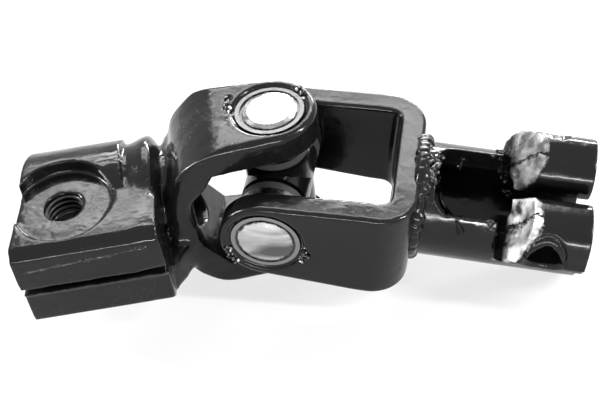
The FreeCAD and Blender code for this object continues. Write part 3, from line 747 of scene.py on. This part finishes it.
def make_lump_tree():
    tree, start, end = geometry_tree("Lumps", [
        ("Radius", "NodeSocketFloat"), ("Ruggedness", "NodeSocketFloat"),
        ("Seed", "NodeSocketInt"), ("Finish", "NodeSocketMaterial")])
    ball = tree.nodes.new("GeometryNodeMeshIcoSphere")
    ball.inputs["Subdivisions"].default_value = 3
    tree.links.new(start.outputs["Radius"], ball.inputs["Radius"])
    own_size = tree.nodes.new("GeometryNodeInputNamedAttribute")
    own_size.data_type = "FLOAT"
    own_size.inputs["Name"].default_value = "lump_size"
    stretch = tree.nodes.new("ShaderNodeVectorMath")
    stretch.operation = "SCALE"
    tree.links.new(chance(tree, start, 0.6, 1.3, 1), stretch.inputs[0])
    tree.links.new(own_size.outputs["Attribute"], stretch.inputs["Scale"])
    place = tree.nodes.new("GeometryNodeInstanceOnPoints")
    tree.links.new(start.outputs["Geometry"], place.inputs["Points"])
    tree.links.new(ball.outputs["Mesh"], place.inputs["Instance"])
    tree.links.new(chance(tree, start, 0.0, 6.28, 2), place.inputs["Rotation"])
    tree.links.new(stretch.outputs[0], place.inputs["Scale"])
    real = tree.nodes.new("GeometryNodeRealizeInstances")
    tree.links.new(place.outputs["Instances"], real.inputs["Geometry"])
    noise = tree.nodes.new("ShaderNodeTexNoise")
    noise.inputs["Scale"].default_value = 1600.0
    shift = tree.nodes.new("ShaderNodeVectorMath")
    shift.operation = "SUBTRACT"
    shift.inputs[1].default_value = (0.5, 0.5, 0.5)
    tree.links.new(noise.outputs["Color"], shift.inputs[0])
    strength = tree.nodes.new("ShaderNodeVectorMath")
    strength.operation = "SCALE"
    tree.links.new(shift.outputs[0], strength.inputs[0])
    tree.links.new(start.outputs["Ruggedness"], strength.inputs["Scale"])
    move = tree.nodes.new("GeometryNodeSetPosition")
    tree.links.new(real.outputs["Geometry"], move.inputs["Geometry"])
    tree.links.new(strength.outputs[0], move.inputs["Offset"])
    dressed = tree.nodes.new("GeometryNodeSetMaterial")
    tree.links.new(move.outputs["Geometry"], dressed.inputs["Geometry"])
    tree.links.new(start.outputs["Finish"], dressed.inputs["Material"])
    tree.links.new(dressed.outputs["Geometry"], end.inputs["Geometry"])
    return tree


lump_tree = make_lump_tree()
print("tree", lump_tree.name, len(lump_tree.nodes), "nodes")

# %% Running a tree and keeping its plain mesh


def run_tree(name, points, sizes, tree, **inputs):
    mesh = bpy.data.meshes.new(name)
    mesh.from_pydata([tuple(p) for p in points], [], [])
    if sizes is not None:
        mesh.attributes.new("lump_size", "FLOAT", "POINT").data.foreach_set("value", sizes)
    piece = bpy.data.objects.new(name, mesh)
    bpy.context.scene.collection.objects.link(piece)
    modifier = piece.modifiers.new("growth", "NODES")
    modifier.node_group = tree
    for item in tree.interface.items_tree:
        if item.item_type == "SOCKET" and item.in_out == "INPUT" and item.name in inputs:
            modifier[item.identifier] = inputs[item.name]
    graph = bpy.context.evaluated_depsgraph_get()
    result = bpy.data.meshes.new_from_object(piece.evaluated_get(graph))
    piece.modifiers.clear()
    piece.data = result
    result.polygons.foreach_set("use_smooth", [True] * len(result.polygons))
    result.update()
    return piece


def set_on(piece, body):
    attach(piece, body)
    print(piece.name, len(piece.data.polygons), "faces on", body)


# %% Burrs round the punch marks
luck = np.random.RandomState(11)
BURR_RADIUS = 0.42 * MM
BURR_RING = 0.75 * MM
SUNK = 0.12 * MM


def burrs(name, spots, body, each, finish):
    """Sets a few lumps on the ring that a punch throws up."""
    points, sizes = [], []
    for place, normal in spots:
        for count in range(each):
            aside = Vector(luck.normal(size=3))
            aside = (aside - normal * aside.dot(normal)).normalized() * BURR_RING
            points.append(place + aside - normal * SUNK)
            sizes.append(luck.uniform(0.5, 1.1))
    piece = run_tree(name, points, sizes, lump_tree, Radius=BURR_RADIUS,
                     Ruggedness=0.6 * MM, Seed=3, Finish=finish)
    set_on(piece, body)


burrs("punch_burrs_left", marks["left_yoke_skin"], "left_yoke_body", 4, burr_black)
burrs("punch_burrs_right", marks["right_fork_skin"], "right_fork_body", 4, burr_black)
burrs("bare_burrs_left", marks["left_yoke_skin"], "left_yoke_body", 2, bare_burr)
burrs("bare_burrs_right", marks["right_fork_skin"], "right_fork_body", 2, bare_burr)

# %% Flash along the pinch block
FLASH_START, FLASH_STOP = Vector((24, 273.5)), Vector((146, 247.5))
flash_points, flash_sizes = [], []
for step in np.linspace(0.0, 1.0, 90):
    across, down = FLASH_START.lerp(FLASH_STOP, step)
    place, normal = seen_at(surfaces["left_yoke_skin"], across, down + luck.normal() * 0.35)
    if place is None:
        continue
    flash_points.append(place - normal * SUNK)
    flash_sizes.append(luck.uniform(0.35, 1.0))
flash = run_tree("forging_flash", flash_points, flash_sizes, lump_tree, Radius=BURR_RADIUS,
                 Ruggedness=0.45 * MM, Seed=8, Finish=burr_black)
set_on(flash, "left_yoke_body")

# %% Spatter round the weld and on the ears, as across, down, number of lumps and their size
SPATTER = [(426, 145, 10, 1.2), (431, 155, 14, 1.3), (437, 163, 12, 1.2), (432, 172, 14, 1.0),
           (426, 181, 9, 0.9), (437, 180, 8, 0.8), (424, 196, 5, 0.7), (460, 163, 6, 0.7),
           (503, 176, 6, 0.9), (507, 192, 6, 0.8), (491, 226, 7, 0.9), (498, 157, 6, 0.9),
           (224, 140, 8, 0.5), (170, 140, 9, 0.5)]


def first_seen(across, down, names):
    """The nearest of several skins under a point of the picture."""
    best = (None, None)
    for name in names:
        place, normal = seen_at(surfaces[name], across, down)
        if place is not None and (best[0] is None or
                                  (place - camera.location).length
                                  < (best[0] - camera.location).length):
            best = (place, normal)
    return best


spatter_points, spatter_sizes = [], []
for across, down, count, size in SPATTER:
    for lump in range(count):
        place, normal = first_seen(across + luck.normal() * 2.6, down + luck.normal() * 3.2,
                                   ("clamp_sleeve_skin", "right_fork_skin"))
        if place is None:
            continue
        spatter_points.append(place + normal * 0.15 * MM)
        spatter_sizes.append(size * luck.uniform(0.5, 1.4))
spatter = run_tree("weld_spatter", spatter_points, spatter_sizes, lump_tree,
                   Radius=0.6 * MM, Ruggedness=0.7 * MM, Seed=5, Finish=burr_black)
set_on(spatter, "right_fork_body")

# %% [markdown]
# The weld is a run of overlapping puddles. A ring whose thickness swells and shrinks along its
# way gives them, and the paint over it keeps only the larger ripples.

# %% Weld bead


def make_weld():
    """A ring of puddles round the foot of the sleeve."""
    around, across, puddles = 480, 28, 34
    seat = Vector((33.0, 13.3)) * MM
    starts = np.cumsum(luck.uniform(0.5, 1.6, puddles))
    starts *= around / starts[-1]
    swell = luck.uniform(0.1, 1.0, puddles)
    lean = luck.uniform(-0.5, 0.5, puddles)
    verts, faces = [], []
    for i in range(around):
        turn = 2 * math.pi * i / around
        one = int(np.searchsorted(starts, i, side="right"))
        begin = starts[one - 1] if one else 0.0
        part = (i - begin) / (starts[one] - begin)
        bulge = math.sin(math.pi * part) ** 0.8 * swell[one]
        thick = (1.5 + 0.55 * bulge) * MM
        aside = lean[one] * math.sin(math.pi * part) * MM
        for j in range(across):
            tilt = 2 * math.pi * j / across
            far = seat.y + thick * math.sin(tilt)
            verts.append(RIGHT @ Vector((seat.x + aside + thick * 1.1 * math.cos(tilt),
                                         far * math.cos(turn), far * math.sin(turn))))
    for i in range(around):
        for j in range(across):
            a, b = i * across, (i + 1) % around * across
            k = (j + 1) % across
            faces.append((a + j, a + k, b + k, b + j))
    mesh = bpy.data.meshes.new("weld_run")
    mesh.from_pydata(verts, [], faces)
    work = bmesh.new()
    work.from_mesh(mesh)
    bmesh.ops.recalc_face_normals(work, faces=work.faces)
    work.to_mesh(mesh)
    work.free()
    mesh.polygons.foreach_set("use_smooth", [True] * len(mesh.polygons))
    mesh.materials.append(weld_black)
    piece = bpy.data.objects.new("weld_run", mesh)
    bpy.context.scene.collection.objects.link(piece)
    relax_where(piece, np.full(len(mesh.vertices), 0.8), 4)
    return piece


weld = make_weld()
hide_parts("weld_bead")
set_on(weld, "right_fork_body")

# %% Paint that ran and set in a string beside the window


def run_of_paint(name, spots, radii, surface, body):
    curve = bpy.data.curves.new(name, "CURVE")
    curve.dimensions = "3D"
    curve.bevel_depth = 1.0 * MM
    curve.bevel_resolution = 4
    curve.use_fill_caps = True
    line = curve.splines.new("NURBS")
    found = []
    for (across, down), radius in zip(spots, radii):
        place, normal = seen_at(surface, across, down)
        if place is not None:
            found.append((place + normal * radius * 0.7 * MM, radius))
    line.points.add(len(found) - 1)
    for point, (place, radius) in zip(line.points, found):
        point.co = (*place, 1.0)
        point.radius = radius
    line.use_endpoint_u = True
    line.order_u = 3
    carrier = bpy.data.objects.new(name, curve)
    bpy.context.scene.collection.objects.link(carrier)
    graph = bpy.context.evaluated_depsgraph_get()
    mesh = bpy.data.meshes.new_from_object(carrier.evaluated_get(graph))
    bpy.data.objects.remove(carrier)
    mesh.polygons.foreach_set("use_smooth", [True] * len(mesh.polygons))
    mesh.materials.clear()
    mesh.materials.append(weld_black)
    piece = bpy.data.objects.new(name, mesh)
    bpy.context.scene.collection.objects.link(piece)
    set_on(piece, body)
    return piece


run_of_paint("paint_string",
             [(429, 178), (433, 181), (438, 186), (440, 196), (442, 205), (449, 212),
              (456, 218), (459, 226), (461, 232)],
             [0.5, 0.8, 0.6, 0.45, 0.6, 0.4, 0.5, 0.55, 0.85],
             surfaces["clamp_sleeve_skin"], "right_fork_body")

# %% [markdown]
# The tapped hole shows three or four turns of thread. A thread is a ridge that follows a helix,
# so Geometry Nodes draw the helix, give it a three-cornered section and keep the sizes as named
# inputs: hole radius, pitch and ridge.

# %% Thread of the tapped hole


def make_thread_tree():
    tree, start, end = geometry_tree("Thread", [
        ("Radius", "NodeSocketFloat"), ("Pitch", "NodeSocketFloat"), ("Turns", "NodeSocketFloat"),
        ("Ridge", "NodeSocketFloat"), ("Finish", "NodeSocketMaterial")])
    helix = tree.nodes.new("GeometryNodeCurveSpiral")
    helix.inputs["Resolution"].default_value = 48
    height = tree.nodes.new("ShaderNodeMath")
    height.operation = "MULTIPLY"
    tree.links.new(start.outputs["Pitch"], height.inputs[0])
    tree.links.new(start.outputs["Turns"], height.inputs[1])
    tree.links.new(height.outputs[0], helix.inputs["Height"])
    tree.links.new(start.outputs["Turns"], helix.inputs["Rotations"])
    tree.links.new(start.outputs["Radius"], helix.inputs["Start Radius"])
    tree.links.new(start.outputs["Radius"], helix.inputs["End Radius"])
    corner = tree.nodes.new("GeometryNodeCurvePrimitiveCircle")
    corner.inputs["Resolution"].default_value = 3
    tree.links.new(start.outputs["Ridge"], corner.inputs["Radius"])
    sweep = tree.nodes.new("GeometryNodeCurveToMesh")
    sweep.inputs["Fill Caps"].default_value = True
    tree.links.new(helix.outputs["Curve"], sweep.inputs["Curve"])
    tree.links.new(corner.outputs["Curve"], sweep.inputs["Profile Curve"])
    real = tree.nodes.new("GeometryNodeRealizeInstances")
    tree.links.new(sweep.outputs["Mesh"], real.inputs["Geometry"])
    dressed = tree.nodes.new("GeometryNodeSetMaterial")
    tree.links.new(real.outputs["Geometry"], dressed.inputs["Geometry"])
    tree.links.new(start.outputs["Finish"], dressed.inputs["Material"])
    tree.links.new(dressed.outputs["Geometry"], end.inputs["Geometry"])
    return tree


PITCH = 1.5 * MM
thread = run_tree("bolt_thread", [(0, 0, 0)], None, make_thread_tree(), Radius=THREAD_CORE,
                  Pitch=PITCH, Turns=6.0, Ridge=0.55 * MM, Finish=thread_steel)
thread.data.transform(LEFT @ Matrix.Translation((BOLT.x, BOLT.y, 1.6 * MM)))
work = bmesh.new()
work.from_mesh(thread.data)
bmesh.ops.recalc_face_normals(work, faces=work.faces)
work.to_mesh(thread.data)
work.free()
set_on(thread, "left_yoke_body")

# %% [markdown]
# The floor is white to the camera, and a soft shadow still lies on it. The light is plain: one
# row of three soft boxes above and behind the joint, narrow ones at each side, and a pale world.

# %% Floor


def background_rays(tree):
    """1 for the rays of the camera and of reflections, which see the white background."""
    path = tree.nodes.new("ShaderNodeLightPath")
    seen = math_node(tree, "MAXIMUM", path.outputs["Is Camera Ray"],
                     path.outputs["Is Glossy Ray"])
    return math_node(tree, "MAXIMUM", seen, path.outputs["Is Transmission Ray"])


def make_floor():
    mesh = bpy.data.meshes.new("floor")
    reach = 3.0
    mesh.from_pydata([(-reach, -reach, 0), (reach, -reach, 0), (reach, reach, 0),
                      (-reach, reach, 0)], [], [(0, 1, 2, 3)])
    floor = bpy.data.objects.new("floor", mesh)
    bpy.context.scene.collection.objects.link(floor)
    material = bpy.data.materials.new("pale_floor")
    material.use_nodes = True
    tree = material.node_tree
    shader = tree.nodes["Principled BSDF"]
    shader.inputs["Base Color"].default_value = (0.86, 0.86, 0.86, 1.0)
    shader.inputs["Roughness"].default_value = 0.9
    shader.inputs["Specular IOR Level"].default_value = 0.0
    glow = tree.nodes.new("ShaderNodeEmission")
    glow.inputs["Color"].default_value = (1.0, 1.0, 1.0, 1.0)
    glow.inputs["Strength"].default_value = 1.0
    mix = tree.nodes.new("ShaderNodeMixShader")
    seen = background_rays(tree)
    share = math_node(tree, "MULTIPLY", seen, 0.72)
    tree.links.new(share, mix.inputs["Fac"])
    tree.links.new(shader.outputs["BSDF"], mix.inputs[1])
    tree.links.new(glow.outputs["Emission"], mix.inputs[2])
    tree.links.new(mix.outputs["Shader"], tree.nodes["Material Output"].inputs["Surface"])
    mesh.materials.append(material)
    return floor


print("floor", make_floor().name)

# %% World and lamps
world = bpy.data.worlds.new("studio")
bpy.context.scene.world = world
world.use_nodes = True
tree = world.node_tree
back = tree.nodes["Background"]
mix = tree.nodes.new("ShaderNodeMix")
mix.data_type = "RGBA"
mix.inputs["A"].default_value = (0.35, 0.35, 0.35, 1.0)
mix.inputs["B"].default_value = (1.0, 1.0, 1.0, 1.0)
tree.links.new(background_rays(tree), mix.inputs["Factor"])
tree.links.new(mix.outputs["Result"], back.inputs["Color"])
back.inputs["Strength"].default_value = 1.0


def soft_box(name, place, aim, wide, high, power):
    lamp = bpy.data.lights.new(name, "AREA")
    lamp.shape = "RECTANGLE"
    lamp.size = wide
    lamp.size_y = high
    lamp.energy = power
    carrier = bpy.data.objects.new(name, lamp)
    bpy.context.scene.collection.objects.link(carrier)
    carrier.location = place
    carrier.rotation_euler = (Vector(aim) - Vector(place)).to_track_quat("-Z", "Y").to_euler()
    carrier.visible_camera = False
    return carrier


for number, (far, high) in enumerate(((0.74, 0.50), (0.64, 0.63), (0.52, 0.75))):
    soft_box("back_box_%d" % number, (-0.02, far, high), CENTRE, 0.75, 0.085, 3.2)
soft_box("back_strip", (0.12, 0.70, 0.20), CENTRE, 0.5, 0.03, 7.0)
soft_box("left_box", (-0.60, 0.10, 0.30), CENTRE, 0.05, 0.30, 7.0)
soft_box("right_box", (0.55, -0.12, 0.42), CENTRE, 0.05, 0.30, 6.0)
soft_box("front_strip", (0.02, -0.60, 0.10), CENTRE, 0.4, 0.02, 3.0)
